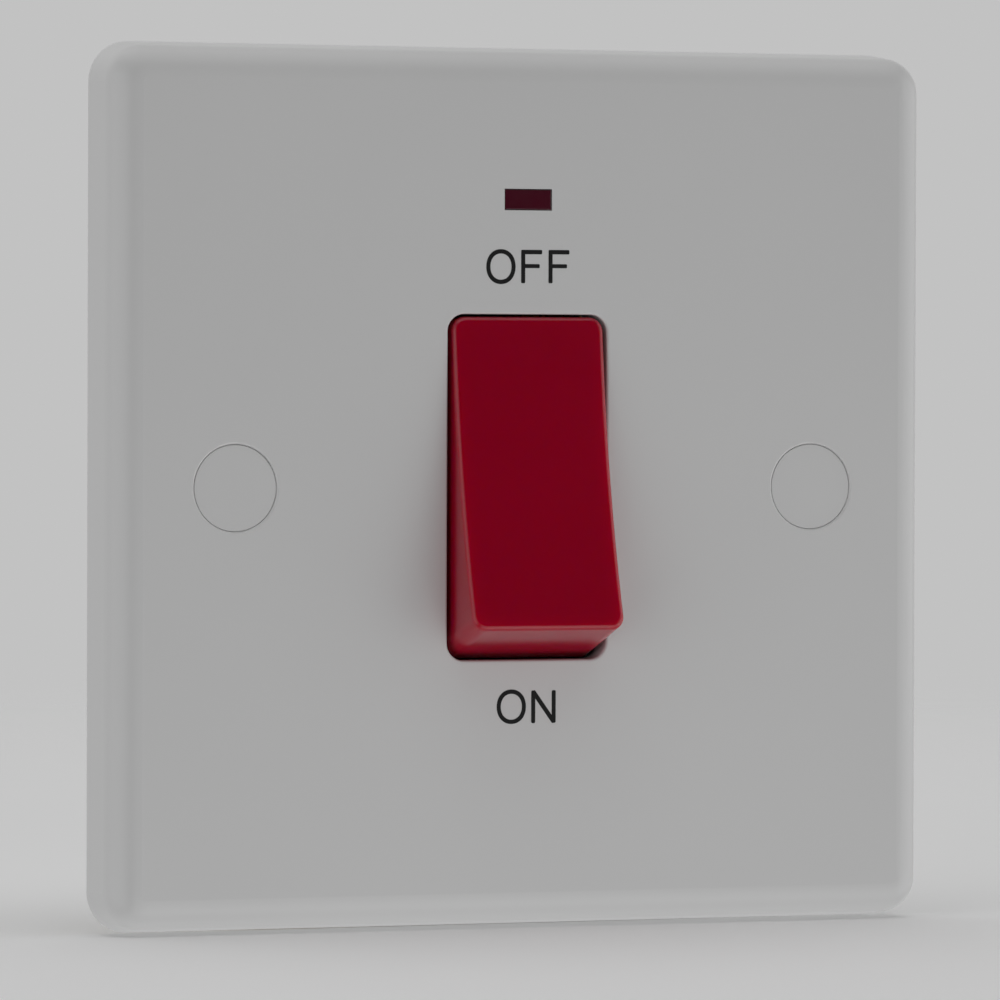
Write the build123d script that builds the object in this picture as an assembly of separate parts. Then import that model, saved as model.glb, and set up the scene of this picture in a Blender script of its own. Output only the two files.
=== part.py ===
"""Double pole wall switch, one gang, with indicator window.

Millimetres. X runs to the right seen from the front, Y runs into the wall box,
Z is up. The origin is the centre of the plate's rear plane, which lies on the wall.
The switch is modelled in its OFF position: upper end of the rocker pressed in.
"""
import os
from math import sin, cos, tan, radians, sqrt

from build123d import *

# ---------------------------------------------------------------- driving dimensions
PLATE = 86.0            # square plate, one gang
PLATE_DEPTH = 6.5       # front face to wall
PLATE_SKIN = 2.5        # thickness of the front
PLATE_RIM = 2.2         # thickness of the rim wall
PLATE_CORNER_R = 4.0    # corner radius seen from the front
PLATE_EDGE_R = 3.0      # rounding of the front edge
PLATE_DRAFT = 7.0       # slope of the side faces, degrees
PLATE_INNER_R = 2.2     # corner radius of the rear hollow
FRONT = -PLATE_DEPTH
SKIN_IN = FRONT + PLATE_SKIN

APERTURE_W = 16.65      # rocker aperture
APERTURE_H = 33.7
APERTURE_R = 1.7

FIX_PITCH = 60.3        # fixing screw centres
CAP_R = 4.185           # screw cap
CAP_POCKET_R = 4.22
CAP_RECESS = 0.14       # cap face below the plate face
CAP_DISC = 1.1
HEAD_POCKET_R = 3.6
HEAD_SEAT_Y = -1.8      # where the screw head bears
FIX_BOSS_R = 5.4
FIX_THREAD_R = 1.75     # M3.5
FIX_SHANK_R = 1.5
FIX_END_Y = 22.0

LENS_W = 4.88           # indicator window
LENS_H = 1.99
LENS_Z = 28.03

PIVOT_Y = FRONT + 4.1   # rocker axis
TILT = 11.5             # rocker tilt each side of level
ROCKER_W = 15.8
ROCKER_FRONT = 7.5      # front edge ahead of the pivot
ROCKER_HALF = 15.44     # half length of the front face
ROCKER_DRAFT = 8.0      # end face draft
ROCKER_BACK = 2.2       # skirt behind the pivot
ROCKER_DISH_R = 130.0   # concave front
ROCKER_CORNER_R = 1.4   # corners seen from the front
ROCKER_EDGE_R = 0.55    # edge round the front face
ROCKER_SWING_R = 16.8   # end radius about the pivot
TRUNNION_R = 1.5
TRUNNION_X = 9.7

POLE_X = 4.2            # pole centres
BARREL_R = 2.9
BARREL_BORE_R = 1.55
BARREL_END = 4.2        # barrel end behind the pivot
PLUNGER_R = 1.5
PLUNGER_L = 9.9         # pivot to centre of the plunger nose

FULCRUM_Y = 11.0        # contact arm axis
ARM_TILT = 10.0
ARM_W = 5.0
ARM_T = 1.0
ARM_HALF = 11.0
NOSE_R = 0.83
TIP_Z = 9.4
TIP_R = 1.5
TIP_T = 0.8
CONTACT_GAP_ON = 0.08

HOUSING_X = 22.0
HOUSING_Z = 26.0
HOUSING_REAR = 24.5     # terminal towers
MECH_REAR = 19.0        # rear of the middle box
EAR_X = 25.5
EAR_Z = 16.0

TERM_X = 14.5           # terminal centres
TERM_W = 10.0
TERM_Y0, TERM_Y1 = 4.0, 15.5
TERM_Z0, TERM_Z1 = 13.0, 24.0
BORE_Y = 8.5
BORE_R = 3.1
CLAMP_R = 2.0           # M4 clamp screws
CLAMP_HOLE_R = 2.05
CLAMP_HEAD_R = 2.7
CLAMP_Z = (15.4, 21.6)
CLAMP_TIP = 11.8
CLAMP_HEAD_Y = 21.2
CLAMP_HEAD_T = 2.4

EARTH_X, EARTH_Z = -24.0, -32.5
EARTH_BORE_Y = 3.4
EARTH_BORE_R = 2.0


# ---------------------------------------------------------------- helpers
def box(x0, x1, y0, y1, z0, z1):
    return Pos((x0 + x1) / 2, (y0 + y1) / 2, (z0 + z1) / 2) * Box(abs(x1 - x0), abs(y1 - y0), abs(z1 - z0))


def cyl_x(r, x0, x1, y, z):
    return Pos((x0 + x1) / 2, y, z) * Rot(0, 90, 0) * Cylinder(r, abs(x1 - x0))


def cyl_y(r, y0, y1, x, z):
    return Pos(x, (y0 + y1) / 2, z) * Rot(90, 0, 0) * Cylinder(r, abs(y1 - y0))


def cyl_z(r, z0, z1, x, y):
    return Pos(x, y, (z0 + z1) / 2) * Cylinder(r, abs(z1 - z0))


def slab(w, h, r, y0, y1, z=0.0):
    """Rounded rectangle seen from the front, between two depths."""
    face = Plane.XZ * Pos(0, z) * RectangleRounded(w, h, r)
    s = extrude(face, amount=abs(y1 - y0), dir=(0, 1, 0))
    return Pos(0, min(y0, y1), 0) * s


def one(shape):
    """The single solid of a result."""
    solids = shape.solids()
    assert len(solids) == 1, len(solids)
    return solids[0]


NODES = {}


def keep(name, *solids):
    shapes = [s for item in solids for s in item.solids()]
    NODES[name] = shapes[0] if len(shapes) == 1 else Compound(children=shapes)


# ---------------------------------------------------------------- faceplate
plate = extrude(Plane.XZ * RectangleRounded(PLATE, PLATE, PLATE_CORNER_R), amount=PLATE_DEPTH, taper=PLATE_DRAFT)
plate = fillet(plate.edges().group_by(Axis.Y)[0], PLATE_EDGE_R)
inner = PLATE - 2 * PLATE_RIM
plate -= slab(inner, inner, PLATE_INNER_R, SKIN_IN, 1)
fix_x = FIX_PITCH / 2
for sx in (-1, 1):
    plate += cyl_y(FIX_BOSS_R, SKIN_IN - 0.5, -0.2, sx * fix_x, 0)
    # webs that stiffen each fixing boss
    plate += box(sx * (fix_x + 4.9), sx * (PLATE / 2 - PLATE_RIM + 0.3), SKIN_IN - 0.5, -1.6, -0.6, 0.6)
for sx in (-1, 1):
    for sz in (-1, 1):
        plate += cyl_y(3.0, SKIN_IN - 0.5, -1.2, sx * EAR_X, sz * EAR_Z)
# cradle of the earth terminal
plate += box(EARTH_X - 5.4, EARTH_X + 5.4, SKIN_IN - 0.5, -0.8, EARTH_Z - 5.9, EARTH_Z + 5.9)
# pegs of the lamp holder
for sx in (-1, 1):
    plate += cyl_y(0.9, SKIN_IN - 0.5, -1.8, sx * 5.0, 32.4)
# aperture, cap pockets, head pockets and screw holes
aperture = slab(APERTURE_W, APERTURE_H, APERTURE_R, FRONT - 1, SKIN_IN + 1)
plate -= aperture
plate -= box(-LENS_W / 2 - 0.05, LENS_W / 2 + 0.05, FRONT - 1, SKIN_IN + 1, LENS_Z - LENS_H / 2 - 0.05, LENS_Z + LENS_H / 2 + 0.05)
for sx in (-1, 1):
    x = sx * fix_x
    plate -= cyl_y(CAP_POCKET_R, FRONT - 1, FRONT + CAP_RECESS + CAP_DISC, x, 0)
    plate -= cyl_y(HEAD_POCKET_R, FRONT, HEAD_SEAT_Y, x, 0)
    plate -= cyl_y(1.95, HEAD_SEAT_Y - 0.1, 1, x, 0)
    for sz in (-1, 1):
        plate -= cyl_y(1.32, -4.4, 0, sx * EAR_X, sz * EAR_Z)
plate -= box(EARTH_X - 4.05, EARTH_X + 4.05, SKIN_IN, 1, EARTH_Z - 4.55, EARTH_Z + 4.55)
# softened lip of the aperture and of the cap pockets
lip = [e for e in plate.edges().group_by(Axis.Y)[0]]
ap_lip = [e for e in lip if abs(e.center().X) < 9 and abs(e.center().Z) < 18]
plate = fillet(ap_lip, 0.25)
lip = [e for e in plate.edges() if abs(e.center().Y - FRONT) < 1e-4 and abs(abs(e.center().X) - fix_x) < 5 and abs(e.center().Z) < 5]
plate = fillet(lip, 0.22)
keep("faceplate", one(plate))

# ---------------------------------------------------------------- indicator lens
lens = box(-LENS_W / 2, LENS_W / 2, FRONT + 0.08, SKIN_IN, LENS_Z - LENS_H / 2, LENS_Z + LENS_H / 2)
lens = fillet(lens.edges().group_by(Axis.Y)[0], 0.12)
lens += box(-3.5, 3.5, SKIN_IN, SKIN_IN + 0.8, LENS_Z - 1.6, LENS_Z + 1.6)
keep("indicator_lens", one(lens))

# ---------------------------------------------------------------- screw caps and fixing screws
cap_front = FRONT + CAP_RECESS
for sx, name in ((-1, "screw_cap_left"), (1, "screw_cap_right")):
    cap = cyl_y(CAP_R, cap_front, cap_front + CAP_DISC, sx * fix_x, 0)
    cap = fillet(cap.edges().group_by(Axis.Y)[0], 0.08)
    cap += cyl_y(3.54, cap_front + CAP_DISC - 0.2, -4.1, sx * fix_x, 0)
    cap -= cyl_y(2.8, cap_front + CAP_DISC, -3.0, sx * fix_x, 0)
    # three slits make the skirt springy
    for a in (0, 60, 120):
        slit = Rot(0, a, 0) * box(-5, 5, cap_front + CAP_DISC + 0.05, -3.0, -0.4, 0.4)
        cap -= Pos(sx * fix_x, 0, 0) * slit
    keep(name, one(cap))

screws = []
for sx in (-1, 1):
    x = sx * fix_x
    s = cyl_y(3.3, HEAD_SEAT_Y - 2.1, HEAD_SEAT_Y, x, 0)
    s = fillet(s.edges().group_by(Axis.Y)[0], 0.9)
    s -= box(x - 4, x + 4, HEAD_SEAT_Y - 3, HEAD_SEAT_Y - 1.0, -0.45, 0.45)
    s += cyl_y(FIX_SHANK_R, HEAD_SEAT_Y - 0.3, 0.3, x, 0)
    thread = cyl_y(FIX_THREAD_R, 0.3, FIX_END_Y, x, 0)
    thread = chamfer(thread.edges().group_by(Axis.Y)[-1], 0.6)
    s += thread
    screws.append(one(s))
keep("fixing_screws", *screws)

# ---------------------------------------------------------------- switch housing
CAV_X, CAV_Z, CAV_Y = 8.3, 17.4, 4.2
FLOOR_UP, FLOOR_LOW = 13.4, 15.2      # seats of the load and supply strips
h = box(-HOUSING_X, HOUSING_X, SKIN_IN, HOUSING_REAR, -HOUSING_Z, HOUSING_Z)
h = fillet(h.edges().filter_by(Axis.Y), 1.6)
# the middle box is shallower than the terminal towers, and so is the waist between towers
h -= box(-8.6, 8.6, MECH_REAR, HOUSING_REAR + 1, -HOUSING_Z - 1, HOUSING_Z + 1)
h -= box(-HOUSING_X - 1, HOUSING_X + 1, MECH_REAR, HOUSING_REAR + 1, -11.6, 11.6)
# side waists
for sx in (-1, 1):
    h -= box(sx * 12.2, sx * (HOUSING_X + 1), 4.2, HOUSING_REAR + 1, -10.6, 10.6)
    h -= box(sx * 12.2, sx * (HOUSING_X + 1), SKIN_IN - 1, -0.4, -9.2, 9.2)
h = fillet([e for e in h.edges().group_by(Axis.Y)[-1]], 0.6)
# fixing ears
for sx in (-1, 1):
    for sz in (-1, 1):
        ear = cyl_y(3.4, -1.2, 1.6, sx * EAR_X, sz * EAR_Z) + box(sx * (HOUSING_X - 1), sx * EAR_X, -1.2, 1.6, sz * EAR_Z - 3.4, sz * EAR_Z + 3.4)
        h += ear
for sx in (-1, 1):
    for sz in (-1, 1):
        h -= cyl_y(1.45, -2, 3, sx * EAR_X, sz * EAR_Z)
# rocker well
h -= slab(2 * CAV_X, 2 * CAV_Z, 1.0, SKIN_IN - 1, CAV_Y)
# trunnion bearings, open to the front
for sx in (-1, 1):
    h -= cyl_x(TRUNNION_R + 0.05, sx * (CAV_X - 1), sx * (TRUNNION_X + 0.25), PIVOT_Y, 0)
    h -= box(sx * (CAV_X - 1), sx * (TRUNNION_X + 0.25), SKIN_IN - 1, PIVOT_Y, -TRUNNION_R - 0.05, TRUNNION_R + 0.05)
# pole chambers, strip seats and the channels to the terminals
for sx in (-1, 1):
    a, b = sx * (POLE_X - 3.0), sx * (POLE_X + 3.0)
    h -= box(a, b, 0, FLOOR_UP, -12.6, 12.6)
    h -= box(a, b, 0, FLOOR_LOW, -12.6, 4.6)
    h -= box(a, sx * (TERM_X - TERM_W / 2 + 0.1), 0, FLOOR_UP, 12.0, 17.15)
    h -= box(a, sx * (TERM_X - TERM_W / 2 + 0.1), 0, FLOOR_LOW, -17.15, -12.0)
# terminal pockets, cable entries and driver holes
for sx in (-1, 1):
    for sz in (-1, 1):
        h -= box(sx * (TERM_X - TERM_W / 2 - 0.06), sx * (TERM_X + TERM_W / 2 + 0.06), SKIN_IN - 1, TERM_Y1 + 0.06, sz * (TERM_Z0 - 0.06), sz * (TERM_Z1 + 0.06))
        h -= cyl_z(BORE_R + 0.6, sz * (TERM_Z1 - 0.5), sz * (HOUSING_Z + 1), sx * TERM_X, BORE_Y)
        for z in CLAMP_Z:
            h -= cyl_y(CLAMP_HEAD_R + 0.2, TERM_Y1 - 0.5, HOUSING_REAR + 1, sx * TERM_X, sz * z)
    # notch for the lamp lead
    h -= box(sx * TERM_X - 0.8, sx * TERM_X + 0.8, SKIN_IN - 1, -0.3, TERM_Z1 - 0.5, HOUSING_Z + 1)
keep("switch_housing", one(h))

tappers = []
for sx in (-1, 1):
    for sz in (-1, 1):
        x, z = sx * EAR_X, sz * EAR_Z
        s = cyl_y(2.6, 1.6, 3.3, x, z)
        s = fillet(s.edges().group_by(Axis.Y)[-1], 0.7)
        s -= box(x - 1.6, x + 1.6, 2.4, 4, z - 0.3, z + 0.3)
        s -= box(x - 0.3, x + 0.3, 2.4, 4, z - 1.6, z + 1.6)
        s += cyl_y(1.3, -4.1, 1.8, x, z)
        tappers.append(one(s))
keep("housing_screws", *tappers)

# ---------------------------------------------------------------- rocker, level, about its axis at (0, 0)
sag = ROCKER_DISH_R - sqrt(ROCKER_DISH_R ** 2 - ROCKER_HALF ** 2)
z_back = ROCKER_HALF + (ROCKER_FRONT + ROCKER_BACK) * tan(radians(ROCKER_DRAFT))
with BuildSketch(Plane.YZ) as profile:
    with BuildLine():
        ThreePointArc((-ROCKER_FRONT, -ROCKER_HALF), (-ROCKER_FRONT + sag, 0), (-ROCKER_FRONT, ROCKER_HALF))
        Polyline((-ROCKER_FRONT, ROCKER_HALF), (ROCKER_BACK, z_back), (ROCKER_BACK, -z_back), (-ROCKER_FRONT, -ROCKER_HALF))
    make_face()
r = extrude(profile.sketch, amount=ROCKER_W / 2, both=True)
ends = [e for e in r.edges() if abs(e.center().Z) > 15 and abs(abs(e.center().X) - ROCKER_W / 2) < 0.01]
r = fillet(ends, ROCKER_CORNER_R)
front_edges = [e for e in r.edges() if e.center().Y < -ROCKER_FRONT + sag + 0.3 and e.bounding_box().max.Y < -ROCKER_FRONT + sag + 0.4]
r = fillet(front_edges, ROCKER_EDGE_R)
# behind the plate skin the ends are rounded about the axis
rear = box(-20, 20, -4, 10, -30, 30) - cyl_x(ROCKER_SWING_R, -21, 21, 0, 0)
r = one(r - rear)
r -= slab(ROCKER_W - 3.0, 28.4, 1.0, -5.2, ROCKER_BACK + 1)
for sx in (-1, 1):
    r += cyl_y(BARREL_R, -5.6, BARREL_END, sx * POLE_X, 0)
    r += box(sx * POLE_X - 0.6, sx * POLE_X + 0.6, -5.6, ROCKER_BACK - 0.6, -14.6, 14.6)
r += box(-7.0, 7.0, -5.6, ROCKER_BACK - 0.6, -0.6, 0.6)
for sx in (-1, 1):
    r += cyl_x(TRUNNION_R, sx * 7.0, sx * TRUNNION_X, 0, 0)
    r -= cyl_y(BARREL_BORE_R, -4.6, BARREL_END + 1, sx * POLE_X, 0)


def tilted(shape):
    """Level rocker position to the OFF position."""
    return Pos(0, PIVOT_Y, 0) * Rot(-TILT, 0, 0) * shape


keep("rocker", one(tilted(r)))

for sx, side in ((-1, "left"), (1, "right")):
    p = cyl_y(PLUNGER_R, -0.4, PLUNGER_L, sx * POLE_X, 0) + Pos(sx * POLE_X, PLUNGER_L, 0) * Sphere(PLUNGER_R)
    keep("plunger_" + side, one(tilted(p)))
    s = cyl_y(1.4, -4.6, -0.4, sx * POLE_X, 0) - cyl_y(0.9, -6, 0, sx * POLE_X, 0)
    keep("plunger_spring_" + side, one(tilted(s)))

# ---------------------------------------------------------------- contact arms, level, about their axis at (0, 0)
D = FULCRUM_Y - PIVOT_Y
K = ARM_TILT / TILT
reach = PLUNGER_L - K * (D - PLUNGER_L)
rho = reach ** 2 / (PLUNGER_L + 2 * PLUNGER_L * K - (D - PLUNGER_L) * K * K)
valley_r = rho + PLUNGER_R + 0.1
valley_y = -(D - PLUNGER_L) - rho
wing_y = valley_y + 1.45          # front face of the wings


def arm(xp):
    ring = cyl_x(valley_r + ARM_T, xp - ARM_W / 2, xp + ARM_W / 2, valley_y, 0) - cyl_x(valley_r, xp - ARM_W, xp + ARM_W, valley_y, 0)
    ring = ring & box(xp - 9, xp + 9, wing_y, 5, -9, 9)
    a = ring
    start = sqrt(valley_r ** 2 - 1.45 ** 2) + 0.08
    for sz in (-1, 1):
        a += box(xp - ARM_W / 2, xp + ARM_W / 2, wing_y, wing_y + ARM_T, sz * start, sz * ARM_HALF)
    for sx in (-1, 1):
        a += box(xp + sx * 2.0, xp + sx * 2.5, valley_y + valley_r - 0.3, 1.2, -1.6, 1.6)
    return one(a)


def at_fulcrum(shape, degrees):
    return Pos(0, FULCRUM_Y, 0) * Rot(degrees, 0, 0) * shape


tip_y0 = wing_y + ARM_T
tip_y1 = tip_y0 + TIP_T
for sx, side in ((-1, "left"), (1, "right")):
    xp = sx * POLE_X
    keep("contact_arm_" + side, one(at_fulcrum(arm(xp), ARM_TILT)))
    tip = cyl_y(TIP_R, tip_y0, tip_y1, xp, TIP_Z)
    tip = fillet(tip.edges().group_by(Axis.Y)[-1], 0.2)
    keep("moving_contact_" + side, one(at_fulcrum(tip, ARM_TILT)))
    # fixed contact: a rivet whose face lies flat on the moving contact when closed
    fixed = cyl_y(TIP_R + 0.2, tip_y1 + CONTACT_GAP_ON, tip_y1 + 6, xp, TIP_Z)
    fixed = at_fulcrum(fixed, -ARM_TILT) & box(xp - 9, xp + 9, 0, FLOOR_UP - 1.0, -9, 29)
    keep("fixed_contact_" + side, one(fixed))
    # load strip: under the fixed contact, then out to the load terminal
    x_in, x_out, x_term = sx * (POLE_X - 2.4), sx * (POLE_X + 2.4), sx * (TERM_X - TERM_W / 2)
    strip = box(x_in, x_out, FLOOR_UP - 1.0, FLOOR_UP, 7.2, 17.0) + box(x_in, x_term, FLOOR_UP - 1.0, FLOOR_UP, 12.7, 17.0)
    keep("load_strip_" + side, one(strip))
    # supply strip: fulcrum nose under the arm, then out to the supply terminal
    strip = box(x_in, x_out, FLOOR_LOW - 1.0, FLOOR_LOW, -17.0, 2.6) + box(x_in, x_term, FLOOR_LOW - 1.0, FLOOR_LOW, -17.0, -12.7)
    strip += cyl_x(NOSE_R, xp - 1.9, xp + 1.9, FULCRUM_Y, 0)
    strip += box(xp - 1.9, xp + 1.9, FULCRUM_Y, FLOOR_LOW - 0.5, -NOSE_R, NOSE_R)
    keep("supply_strip_" + side, one(strip))

# ---------------------------------------------------------------- terminals and clamp screws
n = 0
for sz, role in ((1, "load"), (-1, "supply")):
    for sx, side in ((-1, "left"), (1, "right")):
        x = sx * TERM_X
        b = box(x - TERM_W / 2, x + TERM_W / 2, TERM_Y0, TERM_Y1, sz * TERM_Z0, sz * TERM_Z1)
        b = fillet(b.edges().filter_by(Axis.Z), 0.8)
        b -= cyl_z(BORE_R, sz * (TERM_Z0 - 1), sz * (TERM_Z1 + 1), x, BORE_Y)
        for z in CLAMP_Z:
            b -= cyl_y(CLAMP_HOLE_R, BORE_Y, TERM_Y1 + 1, x, sz * z)
        keep("terminal_%s_%s" % (role, side), one(b))
        for i, z in enumerate(CLAMP_Z):
            s = cyl_y(CLAMP_R, CLAMP_TIP, CLAMP_HEAD_Y + 0.3, x, sz * z)
            s = chamfer(s.edges().group_by(Axis.Y)[0], 0.4)
            head = cyl_y(CLAMP_HEAD_R, CLAMP_HEAD_Y, CLAMP_HEAD_Y + CLAMP_HEAD_T, x, sz * z)
            head = fillet(head.edges().group_by(Axis.Y)[-1], 0.3)
            s += head
            s -= box(x - 4, x + 4, CLAMP_HEAD_Y + CLAMP_HEAD_T - 1.2, CLAMP_HEAD_Y + 9, sz * z - 0.5, sz * z + 0.5)
            keep("clamp_screw_%s_%s_%s" % (role, side, "inner" if i == 0 else "outer"), one(s))

# ---------------------------------------------------------------- neon lamp, holder, resistor and leads
LAMP_Y = -1.2
holder = box(-9.0, 9.0, SKIN_IN, 2.2, 26.1, 31.0)
holder = fillet(holder.edges().filter_by(Axis.Y), 0.6)
holder += box(-7.0, 7.0, SKIN_IN, SKIN_IN + 1.4, 30.5, 34.2)
holder -= box(-7.4, 7.4, SKIN_IN - 1, 1.2, 26.3, 30.2)
holder -= cyl_x(0.7, -10, 10, LAMP_Y, LENS_Z)
for sx in (-1, 1):
    holder -= cyl_y(0.95, SKIN_IN - 1, 0, sx * 5.0, 32.4)
keep("lamp_holder", one(holder))

lamp = cyl_x(1.7, -5.2, 5.2, LAMP_Y, LENS_Z)
lamp = fillet(lamp.edges().group_by(Axis.X)[0], 0.8)
lamp = fillet(lamp.edges().group_by(Axis.X)[-1], 1.2)
keep("neon_lamp", one(lamp))

resistor = cyl_x(1.1, 9.2, 12.2, LAMP_Y, LENS_Z)
resistor = fillet(resistor.edges().filter_by(GeomType.CIRCLE), 0.35)
keep("resistor", one(resistor))


def wire(points, radii, rr):
    path = FilletPolyline(*points, radius=radii)
    ring = Plane(path @ 0, z_dir=path % 0) * Circle(rr)
    return sweep(ring, path=path)


WIRE_R = 0.45
left_pts = [(-5.2, LAMP_Y, LENS_Z), (-TERM_X, LAMP_Y, LENS_Z), (-TERM_X, LAMP_Y, 20.0), (-TERM_X, TERM_Y0, 20.0)]
keep("lamp_lead_left", one(wire(left_pts, [2.4, 2.0], WIRE_R)))
right_a = cyl_x(WIRE_R, 5.2, 9.2, LAMP_Y, LENS_Z)
right_b = wire([(12.2, LAMP_Y, LENS_Z), (TERM_X, LAMP_Y, LENS_Z), (TERM_X, LAMP_Y, 20.0), (TERM_X, TERM_Y0, 20.0)], [1.8, 2.0], WIRE_R)
keep("lamp_lead_right", right_a, right_b)

# ---------------------------------------------------------------- earth terminal
e = box(EARTH_X - 4.0, EARTH_X + 4.0, SKIN_IN, 8.0, EARTH_Z - 4.5, EARTH_Z + 4.5)
e = fillet(e.edges().filter_by(Axis.Z), 0.6)
e -= cyl_z(EARTH_BORE_R, EARTH_Z - 6, EARTH_Z + 6, EARTH_X, EARTH_BORE_Y)
e -= cyl_y(1.65, EARTH_BORE_Y, 9, EARTH_X, EARTH_Z)
keep("earth_terminal", one(e))
s = cyl_y(1.6, 5.6, 11.5, EARTH_X, EARTH_Z)
s = chamfer(s.edges().group_by(Axis.Y)[0], 0.35)
head = cyl_y(2.9, 11.2, 13.2, EARTH_X, EARTH_Z)
head = fillet(head.edges().group_by(Axis.Y)[-1], 0.5)
s += head
s -= box(EARTH_X - 4, EARTH_X + 4, 12.1, 15, EARTH_Z - 0.45, EARTH_Z + 0.45)
keep("earth_screw", one(s))

# ---------------------------------------------------------------- one file per piece
os.makedirs("parts", exist_ok=True)
for name, shape in NODES.items():
    export_step(shape, "parts/%s.step" % name)
print(len(NODES), "nodes")
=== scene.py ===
"""Looks of a double pole wall switch: finishes, print, screw threads and springs around the fixed frame."""
import math

import bmesh
import bpy
from mathutils import Matrix, Vector


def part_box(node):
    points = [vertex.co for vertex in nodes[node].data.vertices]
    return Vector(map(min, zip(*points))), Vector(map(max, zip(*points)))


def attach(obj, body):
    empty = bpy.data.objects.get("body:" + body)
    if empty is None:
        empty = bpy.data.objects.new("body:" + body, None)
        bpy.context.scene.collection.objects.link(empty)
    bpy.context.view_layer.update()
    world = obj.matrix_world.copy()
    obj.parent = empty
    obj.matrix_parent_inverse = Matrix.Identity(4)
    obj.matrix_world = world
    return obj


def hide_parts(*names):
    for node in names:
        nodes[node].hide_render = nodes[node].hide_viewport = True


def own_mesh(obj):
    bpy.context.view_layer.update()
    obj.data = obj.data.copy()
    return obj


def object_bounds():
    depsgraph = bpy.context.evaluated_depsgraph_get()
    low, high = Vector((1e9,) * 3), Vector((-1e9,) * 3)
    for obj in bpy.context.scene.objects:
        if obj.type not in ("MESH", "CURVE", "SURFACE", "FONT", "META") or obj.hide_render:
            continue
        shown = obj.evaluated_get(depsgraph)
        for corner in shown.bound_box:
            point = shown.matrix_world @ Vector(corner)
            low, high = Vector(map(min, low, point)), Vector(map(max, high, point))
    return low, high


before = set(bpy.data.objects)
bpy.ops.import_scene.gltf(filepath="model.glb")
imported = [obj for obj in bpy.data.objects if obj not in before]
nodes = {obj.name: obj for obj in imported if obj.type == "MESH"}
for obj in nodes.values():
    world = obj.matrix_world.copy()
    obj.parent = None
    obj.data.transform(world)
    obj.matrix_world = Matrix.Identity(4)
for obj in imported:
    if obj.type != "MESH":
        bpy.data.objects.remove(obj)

cad_low, cad_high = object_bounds()
scene = bpy.context.scene
scene.view_settings.view_transform = "Standard"
MM = 0.001

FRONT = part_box("faceplate")[0].y          # plane of the plate's front face
PIVOT = Vector((0.0, FRONT + 4.1 * MM, 0.0))
TILT = math.radians(-11.5)                # rocker at rest


# ------------------------------------------------------------------ node helpers
def new_material(name):
    m = bpy.data.materials.new(name)
    m.use_nodes = True
    nt = m.node_tree
    nt.nodes.clear()
    out = nt.nodes.new("ShaderNodeOutputMaterial")
    bsdf = nt.nodes.new("ShaderNodeBsdfPrincipled")
    nt.links.new(bsdf.outputs["BSDF"], out.inputs["Surface"])
    return m, nt, bsdf


def node(nt, kind, inputs=None, **props):
    n = nt.nodes.new(kind)
    for k, v in props.items():
        setattr(n, k, v)
    for k, v in (inputs or {}).items():
        if hasattr(v, "is_linked"):
            nt.links.new(v, n.inputs[k])
        else:
            n.inputs[k].default_value = v
    return n


def coords(nt, scale=(1, 1, 1)):
    tc = node(nt, "ShaderNodeTexCoord")
    mp = node(nt, "ShaderNodeMapping", {"Vector": tc.outputs["Object"], "Scale": scale})
    return mp.outputs["Vector"]


def noise(nt, vec, scale, detail=2.0, rough=0.5):
    return node(nt, "ShaderNodeTexNoise", {"Vector": vec, "Scale": scale, "Detail": detail, "Roughness": rough}).outputs["Fac"]


def remap(nt, value, lo, hi, out_lo, out_hi):
    return node(nt, "ShaderNodeMapRange", {"Value": value, "From Min": lo, "From Max": hi, "To Min": out_lo, "To Max": out_hi}).outputs["Result"]


def mix(nt, fac, a, b):
    n = node(nt, "ShaderNodeMix", data_type="RGBA")
    nt.links.new(fac, n.inputs["Factor"])
    for key, v in (("A", a), ("B", b)):
        sock = [s for s in n.inputs if s.name == key and s.type == "RGBA"][0]
        if hasattr(v, "is_linked"):
            nt.links.new(v, sock)
        else:
            sock.default_value = (v[0], v[1], v[2], 1.0)
    return [s for s in n.outputs if s.type == "RGBA"][0]


def bump(nt, height, strength, distance, normal=None):
    ins = {"Height": height, "Strength": strength, "Distance": distance}
    if normal is not None:
        ins["Normal"] = normal
    return node(nt, "ShaderNodeBump", ins).outputs["Normal"]


# ------------------------------------------------------------------ materials
def plastic(name, dark, light, rough_lo, rough_hi, peel=0.05, grain=0.02, broad=35.0, specular=0.5):
    """Moulded plastic: faint cloudy tone, uneven gloss, orange peel and a fine tool grain."""
    m, nt, b = new_material(name)
    v = coords(nt)
    cloud = noise(nt, v, broad, 3.0)
    fine = noise(nt, v, 900.0, 3.0)
    nt.links.new(mix(nt, remap(nt, cloud, 0.3, 0.7, 0.0, 1.0), dark, light), b.inputs["Base Color"])
    nt.links.new(remap(nt, fine, 0.3, 0.7, rough_lo, rough_hi), b.inputs["Roughness"])
    n1 = bump(nt, noise(nt, v, 420.0, 1.0), peel, 0.00006)
    n2 = bump(nt, noise(nt, v, 4200.0, 2.0), grain, 0.00002, n1)
    nt.links.new(n2, b.inputs["Normal"])
    b.inputs["Specular IOR Level"].default_value = specular
    return m


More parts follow.
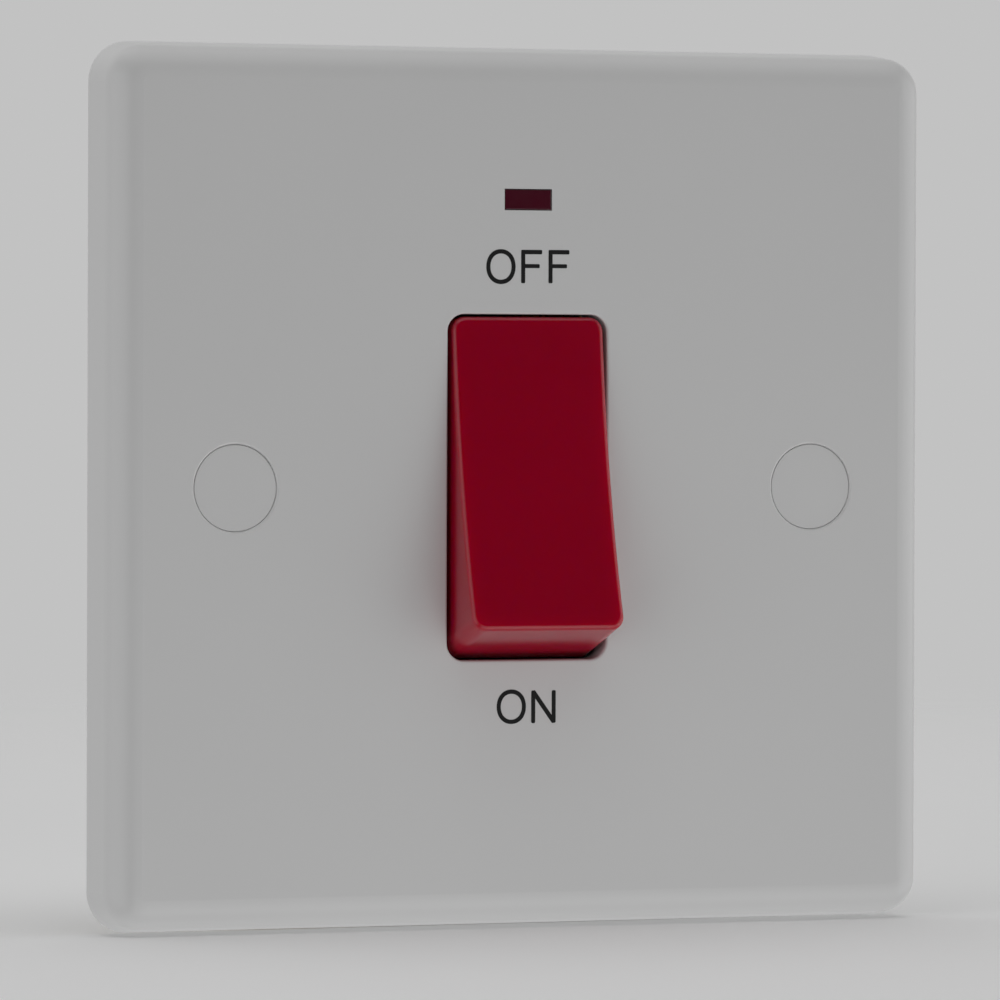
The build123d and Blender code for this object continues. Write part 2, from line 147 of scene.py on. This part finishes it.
def metal(name, dark, light, rough_lo, rough_hi, stretch=(1, 1, 1), scratch=0.06, stain=None):
    """Plated or rolled metal: tone drift, brushed or turned streaks, slight tarnish."""
    m, nt, b = new_material(name)
    v = coords(nt)
    vs = coords(nt, stretch)
    cloud = noise(nt, v, 160.0, 4.0, 0.6)
    streak = noise(nt, vs, 2600.0, 2.0)
    col = mix(nt, remap(nt, cloud, 0.3, 0.7, 0.0, 1.0), dark, light)
    if stain is not None:
        spot = remap(nt, noise(nt, v, 420.0, 5.0, 0.65), 0.58, 0.72, 0.0, 0.7)
        col = mix(nt, spot, col, stain)
    nt.links.new(col, b.inputs["Base Color"])
    nt.links.new(remap(nt, streak, 0.25, 0.75, rough_lo, rough_hi), b.inputs["Roughness"])
    nt.links.new(bump(nt, streak, scratch, 0.00003), b.inputs["Normal"])
    b.inputs["Metallic"].default_value = 1.0
    return m


white = plastic("white_moulded", (0.660, 0.660, 0.660), (0.672, 0.672, 0.671), 0.28, 0.33, peel=0.02, grain=0.01)
white_cap = plastic("white_cap", (0.654, 0.654, 0.654), (0.668, 0.668, 0.667), 0.28, 0.33, peel=0.02, grain=0.012, broad=90.0)
red = plastic("red_moulded", (0.340, 0.0003, 0.0185), (0.352, 0.0004, 0.0195), 0.18, 0.22, peel=0.008, grain=0.004, broad=60.0)
red.node_tree.nodes["Principled BSDF"].inputs["Subsurface Weight"].default_value = 0.9
red.node_tree.nodes["Principled BSDF"].inputs["Subsurface Radius"].default_value = (1.0, 0.05, 0.10)
red.node_tree.nodes["Principled BSDF"].inputs["Subsurface Scale"].default_value = 0.0040
shell = plastic("housing_thermoset", (0.50, 0.50, 0.485), (0.56, 0.56, 0.545), 0.52, 0.66, peel=0.10, grain=0.10, broad=60.0)
nylon = plastic("nylon_natural", (0.62, 0.60, 0.52), (0.70, 0.68, 0.60), 0.45, 0.55)
sleeve = plastic("lead_sleeving", (0.62, 0.61, 0.55), (0.70, 0.69, 0.63), 0.45, 0.55, broad=300.0)
zinc = metal("zinc_plated_steel", (0.50, 0.51, 0.52), (0.64, 0.64, 0.62), 0.24, 0.42, (1, 0.15, 1), 0.05, (0.42, 0.41, 0.36))
spring_wire = metal("spring_wire", (0.42, 0.42, 0.43), (0.55, 0.55, 0.56), 0.25, 0.38)
brass = metal("machined_brass", (0.58, 0.42, 0.17), (0.70, 0.53, 0.25), 0.22, 0.40, (1, 1, 0.12), 0.07, (0.40, 0.28, 0.12))
copper = metal("rolled_copper", (0.62, 0.33, 0.20), (0.72, 0.42, 0.27), 0.26, 0.42, (1, 1, 0.1), 0.06, (0.40, 0.20, 0.12))
silver = metal("silver_contact", (0.72, 0.71, 0.68), (0.82, 0.81, 0.78), 0.18, 0.32)


def lens_material():
    """Dark red lens, clouded a little by the lamp behind it, with a polished face."""
    m, nt, b = new_material("red_lens")
    v = coords(nt)
    cloud = noise(nt, v, 260.0, 2.0)
    nt.links.new(mix(nt, remap(nt, cloud, 0.3, 0.7, 0.0, 1.0), (0.058, 0.0042, 0.0125), (0.066, 0.0048, 0.0140)), b.inputs["Base Color"])
    nt.links.new(remap(nt, noise(nt, v, 900.0, 2.0), 0.3, 0.7, 0.18, 0.24), b.inputs["Roughness"])
    nt.links.new(bump(nt, cloud, 0.01, 0.00004), b.inputs["Normal"])
    return m


def ink_material():
    """Pad printed black ink, slightly uneven."""
    m, nt, b = new_material("black_print")
    v = coords(nt)
    f = noise(nt, v, 2600.0, 3.0)
    nt.links.new(mix(nt, remap(nt, f, 0.3, 0.7, 0.0, 1.0), (0.0035, 0.0035, 0.0038), (0.0075, 0.0075, 0.0078)), b.inputs["Base Color"])
    nt.links.new(remap(nt, f, 0.3, 0.7, 0.48, 0.62), b.inputs["Roughness"])
    nt.links.new(bump(nt, f, 0.05, 0.00001), b.inputs["Normal"])
    b.inputs["Specular IOR Level"].default_value = 0.25
    return m


def glass_material():
    """Lamp glass with a faint grey deposit."""
    m, nt, b = new_material("lamp_glass")
    v = coords(nt)
    f = noise(nt, v, 300.0, 3.0)
    nt.links.new(mix(nt, f, (0.80, 0.74, 0.66), (0.92, 0.89, 0.84)), b.inputs["Base Color"])
    nt.links.new(remap(nt, f, 0.3, 0.7, 0.04, 0.10), b.inputs["Roughness"])
    b.inputs["Transmission Weight"].default_value = 0.85
    b.inputs["IOR"].default_value = 1.47
    return m


def resistor_material():
    """Coated resistor with plain colour rings along X."""
    m, nt, b = new_material("resistor_coat")
    v = coords(nt)
    x = node(nt, "ShaderNodeSeparateXYZ", {"Vector": v}).outputs["X"]
    lo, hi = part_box("resistor")
    t = remap(nt, x, lo.x, hi.x, 0.0, 1.0)
    ramp = node(nt, "ShaderNodeValToRGB", {"Fac": t})
    ramp.color_ramp.interpolation = "CONSTANT"
    body = (0.52, 0.38, 0.22, 1)
    stops = [(0.0, body), (0.18, (0.30, 0.10, 0.02, 1)), (0.26, body), (0.38, (0.05, 0.02, 0.10, 1)), (0.46, body),
             (0.58, (0.55, 0.42, 0.02, 1)), (0.66, body), (0.80, (0.45, 0.33, 0.08, 1)), (0.88, body)]
    el = ramp.color_ramp.elements
    el[0].position, el[0].color = stops[0]
    el[1].position, el[1].color = stops[1]
    for pos, col in stops[2:]:
        e = el.new(pos)
        e.color = col
    cloud = noise(nt, v, 900.0, 3.0)
    nt.links.new(mix(nt, remap(nt, cloud, 0.3, 0.7, 0.0, 0.15), ramp.outputs["Color"], (0.30, 0.22, 0.14)), b.inputs["Base Color"])
    nt.links.new(remap(nt, cloud, 0.3, 0.7, 0.35, 0.5), b.inputs["Roughness"])
    return m


lens = lens_material()
ink = ink_material()
glass = glass_material()
resistor = resistor_material()

finish = {
    "faceplate": white, "screw_cap_left": white_cap, "screw_cap_right": white_cap, "rocker": red, "indicator_lens": lens,
    "switch_housing": shell, "lamp_holder": shell, "fixing_screws": zinc, "housing_screws": zinc, "earth_screw": zinc,
    "plunger_left": nylon, "plunger_right": nylon, "plunger_spring_left": spring_wire, "plunger_spring_right": spring_wire,
    "contact_arm_left": copper, "contact_arm_right": copper, "neon_lamp": glass, "resistor": resistor,
    "lamp_lead_left": sleeve, "lamp_lead_right": sleeve, "earth_terminal": brass,
}
for name, obj in nodes.items():
    if name.startswith("clamp_screw"):
        mat = zinc
    elif name.startswith("terminal_") or name.startswith("load_strip") or name.startswith("supply_strip"):
        mat = brass
    elif name.startswith("moving_contact") or name.startswith("fixed_contact"):
        mat = silver
    else:
        mat = finish[name]
    obj.data.materials.clear()
    obj.data.materials.append(mat)


# ------------------------------------------------------------------ mesh helpers
def piece(name, bm, mat, body, smooth=True):
    bmesh.ops.recalc_face_normals(bm, faces=bm.faces)
    me = bpy.data.meshes.new(name)
    bm.to_mesh(me)
    bm.free()
    for p in me.polygons:
        p.use_smooth = smooth
    me.materials.append(mat)
    ob = bpy.data.objects.new(name, me)
    scene.collection.objects.link(ob)
    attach(ob, body)
    return ob


def grid_faces(bm, rows, closed=True):
    """Quads between rows of vertices; each row is a ring when closed."""
    for a, b in zip(rows, rows[1:]):
        n = len(a)
        for i in range(n if closed else n - 1):
            j = (i + 1) % n
            bm.faces.new((a[i], a[j], b[j], b[i]))


# ------------------------------------------------------------------ print on the plate
def rounded_stroke(p, q, w, r_end=0.45, steps=5):
    """Outline of a straight stroke from p to q of width w with slightly rounded ends."""
    p, q = Vector(p), Vector(q)
    d = (q - p).normalized()
    n = Vector((-d.y, d.x))
    r = w * r_end
    h = w / 2
    pts = []
    for centre, sx, sy, a0 in ((q, -1, -1, -90), (q, -1, 1, 0), (p, 1, 1, 90), (p, 1, -1, 180)):
        c = centre + d * (sx * r) + n * (sy * (h - r))
        for k in range(steps + 1):
            a = math.radians(a0 + 90 * k / steps)
            pts.append(c + d * (math.cos(a) * r) + n * (math.sin(a) * r))
    return pts


def extrude_outline(bm, pts, y0, y1):
    front = [bm.verts.new((p.x * MM, y0, p.y * MM)) for p in pts]
    back = [bm.verts.new((p.x * MM, y1, p.y * MM)) for p in pts]
    bm.faces.new(front)
    bm.faces.new(list(reversed(back)))
    n = len(pts)
    for i in range(n):
        j = (i + 1) % n
        bm.faces.new((front[j], front[i], back[i], back[j]))


def ring_outline(bm, cx, cz, w, h, t, y0, y1, steps=72):
    rows = []
    for y, grow in ((y1, 0), (y0, 0), (y0, 1), (y1, 1)):
        ring = []
        for k in range(steps):
            a = 2 * math.pi * k / steps
            ca, sa = math.cos(a), math.sin(a)
            # slightly squarer than an ellipse, as in a drawn sans O
            e = 2.0 / 2.12
            ex = math.copysign(abs(ca) ** e, ca)
            ez = math.copysign(abs(sa) ** e, sa)
            rw, rh = w / 2 - t * grow, h / 2 - t * grow
            ring.append(bm.verts.new(((cx + rw * ex) * MM, y, (cz + rh * ez) * MM)))
        rows.append(ring)
    grid_faces(bm, rows)
    for i in range(steps):
        j = (i + 1) % steps
        bm.faces.new((rows[3][i], rows[3][j], rows[0][j], rows[0][i]))


INK_T = 0.425                                  # stroke width of the print, mm
Y_INK, Y_IN = FRONT - 0.012 * MM, FRONT + 0.004 * MM


def word(name, letters):
    bm = bmesh.new()
    for i, (kind, x0, x1, z0, z1) in enumerate(letters):
        # each stroke sits a hair apart in depth, so crossings stay clean
        t = INK_T
        if kind == "O":
            ring_outline(bm, (x0 + x1) / 2, (z0 + z1) / 2, x1 - x0, z1 - z0, t, Y_INK, Y_IN)
        elif kind == "F":
            zm = z0 + (z1 - z0) * 0.514
            extrude_outline(bm, rounded_stroke((x0 + t / 2, z0), (x0 + t / 2, z1), t, 0.25), Y_INK, Y_IN)
            extrude_outline(bm, rounded_stroke((x0 + 0.02, z1 - t / 2), (x1, z1 - t / 2), t, 0.25), Y_INK - 0.002 * MM, Y_IN)
            extrude_outline(bm, rounded_stroke((x0 + 0.1, zm), (x1 - 0.25, zm), t * 0.92, 0.25), Y_INK - 0.002 * MM, Y_IN)
        elif kind == "N":
            extrude_outline(bm, rounded_stroke((x0 + t / 2, z0), (x0 + t / 2, z1), t, 0.35), Y_INK, Y_IN)
            extrude_outline(bm, rounded_stroke((x1 - t / 2, z0), (x1 - t / 2, z1), t, 0.35), Y_INK, Y_IN)
            extrude_outline(bm, rounded_stroke((x0 + t * 0.40, z1 - 0.06), (x1 - t * 0.40, z0 + 0.06), t * 1.05, 0.3), Y_INK - 0.002 * MM, Y_IN)
    return piece(name, bm, ink, "switch", smooth=False)


word("print_off", [("O", -4.39, -1.33, 19.785, 23.185), ("F", -0.745, 1.45, 19.89, 23.14), ("F", 2.125, 4.32, 19.90, 23.15)])
word("print_on", [("O", -3.16, -0.10, -23.09, -19.72), ("N", 0.455, 3.03, -23.04, -19.84)])


# ------------------------------------------------------------------ threaded screws
def thread(bm, x, z, y0, y1, r_root, r_crest, pitch, seg=28, run=1.4):
    """Closed threaded rod along Y from y0 to y1 (mm), tapering at both ends."""
    prof = ((0.0, 0.0), (0.32, 1.0), (0.44, 1.0), (0.76, 0.0))
    turns = (y1 - y0) / pitch
    steps = int(turns * len(prof) * 2)
    rows = []
    n = max(4, int((y1 - y0) / pitch * 6))
    for k in range(n + 1):
        y = y0 + (y1 - y0) * k / n
        ring = []
        for i in range(seg):
            a = 2 * math.pi * i / seg
            ph = ((y - y0) / pitch - i / seg) % 1.0
            lift = 0.0
            for (p0, l0), (p1, l1) in zip(prof, prof[1:]):
                if p0 <= ph <= p1:
                    lift = l0 + (l1 - l0) * (ph - p0) / (p1 - p0)
            fade = min(1.0, (y - y0) / run, (y1 - y) / run)
            r = r_root + (r_crest - r_root) * lift * max(0.0, fade)
            ring.append(bm.verts.new(((x + r * math.cos(a)) * MM, y * MM, (z + r * math.sin(a)) * MM)))
        rows.append(ring)
    grid_faces(bm, rows)
    bm.faces.new(rows[0])
    tip = []
    for i in range(seg):
        a = 2 * math.pi * i / seg
        tip.append(bm.verts.new(((x + r_root * 0.7 * math.cos(a)) * MM, (y1 + 0.35) * MM, (z + r_root * 0.7 * math.sin(a)) * MM)))
    grid_faces(bm, [rows[-1], tip])
    bm.faces.new(list(reversed(tip)))


def turned(bm, x, z, profile, seg=48):
    """Closed solid turned about an axis along Y; profile is (r, y) in mm from end to end."""
    rows = []
    for r, y in profile:
        rows.append([bm.verts.new(((x + r * math.cos(2 * math.pi * i / seg)) * MM, y * MM, (z + r * math.sin(2 * math.pi * i / seg)) * MM)) for i in range(seg)])
    grid_faces(bm, rows)
    bm.faces.new(rows[0])
    bm.faces.new(list(reversed(rows[-1])))


def cut_box(bm_boxes, boxes):
    for (x0, x1, y0, y1, z0, z1) in boxes:
        m = Matrix.Translation(((x0 + x1) / 2 * MM, (y0 + y1) / 2 * MM, (z0 + z1) / 2 * MM)) @ Matrix.Diagonal((abs(x1 - x0) * MM, abs(y1 - y0) * MM, abs(z1 - z0) * MM, 1))
        bmesh.ops.create_cube(bm_boxes, size=1.0, matrix=m)


def carved(bm, boxes):
    """Mesh of bm with the boxes cut out of it."""
    bmesh.ops.recalc_face_normals(bm, faces=bm.faces)
    me = bpy.data.meshes.new("carve")
    bm.to_mesh(me)
    bm.free()
    ob = bpy.data.objects.new("carve", me)
    cb = bmesh.new()
    cut_box(cb, boxes)
    cme = bpy.data.meshes.new("cutter")
    cb.to_mesh(cme)
    cb.free()
    co = bpy.data.objects.new("cutter", cme)
    scene.collection.objects.link(ob)
    scene.collection.objects.link(co)
    mod = ob.modifiers.new("cut", "BOOLEAN")
    mod.operation, mod.solver, mod.object = "DIFFERENCE", "EXACT", co
    bpy.context.view_layer.update()
    done = bpy.data.meshes.new_from_object(ob.evaluated_get(bpy.context.evaluated_depsgraph_get()))
    bpy.data.objects.remove(ob)
    bpy.data.objects.remove(co)
    out = bmesh.new()
    out.from_mesh(done)
    bpy.data.meshes.remove(done)
    return out


def by_angle(ob, degrees=32):
    """Smooth shading that keeps edges sharper than the angle."""
    me = ob.data
    bm = bmesh.new()
    bm.from_mesh(me)
    for e in bm.edges:
        e.smooth = len(e.link_faces) == 2 and e.calc_face_angle(0.0) < math.radians(degrees)
    bm.to_mesh(me)
    bm.free()
    return ob


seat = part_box("fixing_screws")
bm = bmesh.new()
boxes = []
HEAD_TOP, HEAD_SEAT = seat[0].y / MM, -1.8
for sx in (-1, 1):
    x = sx * 30.15
    prof = [(0.0001, HEAD_TOP)]
    prof += [(2.4 + 0.9 * math.sin(math.radians(a)), HEAD_TOP + 0.9 - 0.9 * math.cos(math.radians(a))) for a in range(0, 91, 15)]
    prof += [(3.3, HEAD_SEAT - 0.05), (3.25, HEAD_SEAT), (1.5, HEAD_SEAT), (1.5, 0.3)]
    turned(bm, x, 0.0, prof)
    boxes += [(x - 4, x + 4, HEAD_TOP - 1, HEAD_TOP + 1.1, -0.45, 0.45)]
bm = carved(bm, boxes)
for sx in (-1, 1):
    thread(bm, sx * 30.15, 0.0, 0.2, 21.65, 1.36, 1.75, 0.6)
fix = by_angle(piece("fixing_screws_threaded", bm, zinc, "switch"))
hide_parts("fixing_screws")

lo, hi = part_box("earth_screw")
ex, ez = (lo.x + hi.x) / 2 / MM, (lo.z + hi.z) / 2 / MM
bm = bmesh.new()
ht, hb = hi.y / MM, hi.y / MM - 2.0
prof = [(0.0001, ht)]
prof += [(2.4 + 0.5 * math.sin(math.radians(a)), ht - 0.5 + 0.5 * math.cos(math.radians(a))) for a in range(0, 91, 18)]
prof += [(2.9, hb + 0.1), (2.8, hb), (1.3, hb), (1.3, hb - 0.5)]
turned(bm, ex, ez, prof)
bm = carved(bm, [(ex - 4, ex + 4, ht - 1.1, ht + 1, ez - 0.45, ez + 0.45)])
thread(bm, ex, ez, lo.y / MM + 0.36, hb + 0.1, 1.28, 1.6, 0.6, run=0.8)
earth = by_angle(piece("earth_screw_threaded", bm, zinc, "earth_screw"))
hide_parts("earth_screw")


# ------------------------------------------------------------------ coil springs in the rocker
def coil(name, x, y0, y1, radius, wire, turns, body, replaced):
    """Helical spring along the rocker's plunger axis, level position, then tilted with the rocker."""
    bm = bmesh.new()
    n, seg = turns * 24, 8
    rows = []
    turn = Matrix.Translation(PIVOT) @ Matrix.Rotation(TILT, 4, "X")
    for k in range(n + 1):
        t = k / n
        a = 2 * math.pi * turns * t
        ease = min(1.0, t * turns, (1 - t) * turns)
        y = y0 + wire + (y1 - y0 - 2 * wire) * t
        c = Vector((x + radius * math.cos(a), y, radius * math.sin(a)))
        out = Vector((math.cos(a), 0, math.sin(a)))
        side = Vector((0, 1, 0))
        ring = []
        for i in range(seg):
            b = 2 * math.pi * i / seg
            p = c + (out * math.cos(b) + side * math.sin(b)) * wire
            ring.append(bm.verts.new(turn @ (p * MM)))
        rows.append(ring)
    grid_faces(bm, rows)
    bm.faces.new(rows[0])
    bm.faces.new(list(reversed(rows[-1])))
    ob = piece(name, bm, spring_wire, body)
    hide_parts(replaced)
    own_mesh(ob)


coil("coil_spring_left", -4.2, -4.6, -0.42, 1.15, 0.17, 7, "rocker", "plunger_spring_left")
coil("coil_spring_right", 4.2, -4.6, -0.42, 1.15, 0.17, 7, "rocker", "plunger_spring_right")

# ------------------------------------------------------------------ floor, light and camera
floor_me = bpy.data.meshes.new("floor")
bm = bmesh.new()
bmesh.ops.create_grid(bm, x_segments=8, y_segments=8, size=0.8)
bm.to_mesh(floor_me)
bm.free()
floor = bpy.data.objects.new("floor", floor_me)
floor.location = (0, 0, cad_low.z - 0.0001)
scene.collection.objects.link(floor)
fm, fnt, fb = new_material("pale_floor")
fv = coords(fnt)
fnt.links.new(mix(fnt, noise(fnt, fv, 3.0, 2.0), (0.87, 0.87, 0.87), (0.89, 0.89, 0.89)), fb.inputs["Base Color"])
fb.inputs["Roughness"].default_value = 0.9
fb.inputs["Specular IOR Level"].default_value = 0.1
# the floor melts into the pale surround away from the part
away = node(fnt, "ShaderNodeVectorMath", {0: fv}, operation="LENGTH").outputs["Value"]
melt = node(fnt, "ShaderNodeMapRange", {"Value": away, "From Min": 0.22, "From Max": 0.62, "To Min": 0.0, "To Max": 1.0}, interpolation_type="SMOOTHSTEP").outputs["Result"]
air = fnt.nodes.new("ShaderNodeBsdfTransparent")
blend = node(fnt, "ShaderNodeMixShader", {"Fac": melt})
fnt.links.new(fb.outputs["BSDF"], blend.inputs[1])
fnt.links.new(air.outputs["BSDF"], blend.inputs[2])
fnt.links.new(blend.outputs["Shader"], [n for n in fnt.nodes if n.type == "OUTPUT_MATERIAL"][0].inputs["Surface"])
floor_me.materials.append(fm)
# the floor takes the part's shadow and lets the light from below through
floor.visible_diffuse = floor.visible_glossy = floor.visible_transmission = floor.visible_shadow = False

# soft surround: broad pale sides and a dim front, so that smooth faces stay clear of glare
world = bpy.data.worlds.new("studio")
scene.world = world
world.use_nodes = True
wt = world.node_tree
wt.nodes.clear()
wout = wt.nodes.new("ShaderNodeOutputWorld")
ray = node(wt, "ShaderNodeTexCoord").outputs["Generated"]


def soft_side(direction, outer, inner, strength):
    """Glow of the surround about a direction, fading between two angles in degrees."""
    d = tuple(Vector(direction).normalized())
    toward = node(wt, "ShaderNodeVectorMath", {0: ray, 1: d}, operation="DOT_PRODUCT").outputs["Value"]
    return node(wt, "ShaderNodeMapRange", {"Value": toward, "From Min": math.cos(math.radians(outer)), "From Max": math.cos(math.radians(inner)),
                                           "To Min": 0.0, "To Max": strength}, interpolation_type="SMOOTHSTEP").outputs["Result"]


power = None
for direction, outer, inner, strength in (
        ((1, -0.30, 0), 46, 18, 1.08),
        ((-1, -0.30, 0), 50, 8, 1.09),
        ((0, -0.1, 1), 50, 8, 1.16),
        ((0, -0.1, -1), 50, 8, 0.60),
        ((0, 1, 0), 95, 40, 0.55),
        ((0.62, -0.60, -0.52), 34, 4, 0.66)):
    side = soft_side(direction, outer, inner, strength)
    power = side if power is None else node(wt, "ShaderNodeMath", {0: power, 1: side}, operation="ADD").outputs[0]
seen = node(wt, "ShaderNodeBackground", {"Color": (0.54, 0.54, 0.54, 1), "Strength": 1.0})
lit = node(wt, "ShaderNodeBackground", {"Color": (1, 1, 1, 1), "Strength": power})
path = wt.nodes.new("ShaderNodeLightPath")
pick = wt.nodes.new("ShaderNodeMixShader")
wt.links.new(path.outputs["Is Camera Ray"], pick.inputs[0])
wt.links.new(lit.outputs[0], pick.inputs[1])
wt.links.new(seen.outputs[0], pick.inputs[2])
wt.links.new(pick.outputs[0], wout.inputs["Surface"])


def area(name, place, aim, size, watts):
    d = bpy.data.lights.new(name, "AREA")
    d.shape, d.size, d.energy = "SQUARE", size, watts
    o = bpy.data.objects.new(name, d)
    o.location = place
    o.rotation_euler = (Vector(aim) - Vector(place)).to_track_quat("-Z", "Y").to_euler()
    o.visible_camera = False
    scene.collection.objects.link(o)
    return o


area("low_front", (0.046, -0.38, -0.25), (0, 0, 0), 0.42, 0.505)

cam_data = bpy.data.cameras.new("camera")
cam_data.sensor_width = 36.0
cam_data.lens = 36.0 * 7.5391
cam = bpy.data.objects.new("camera", cam_data)
cam.location = (-0.27074, -0.69010, 0.01159)
cam.rotation_euler = (Matrix.Rotation(math.radians(-21.397), 3, "Z") @ Matrix.Rotation(math.radians(90 - 1.001), 3, "X") @ Matrix.Rotation(math.radians(0.183), 3, "Z")).to_euler()
scene.collection.objects.link(cam)
scene.camera = cam
bpy.context.view_layer.update()
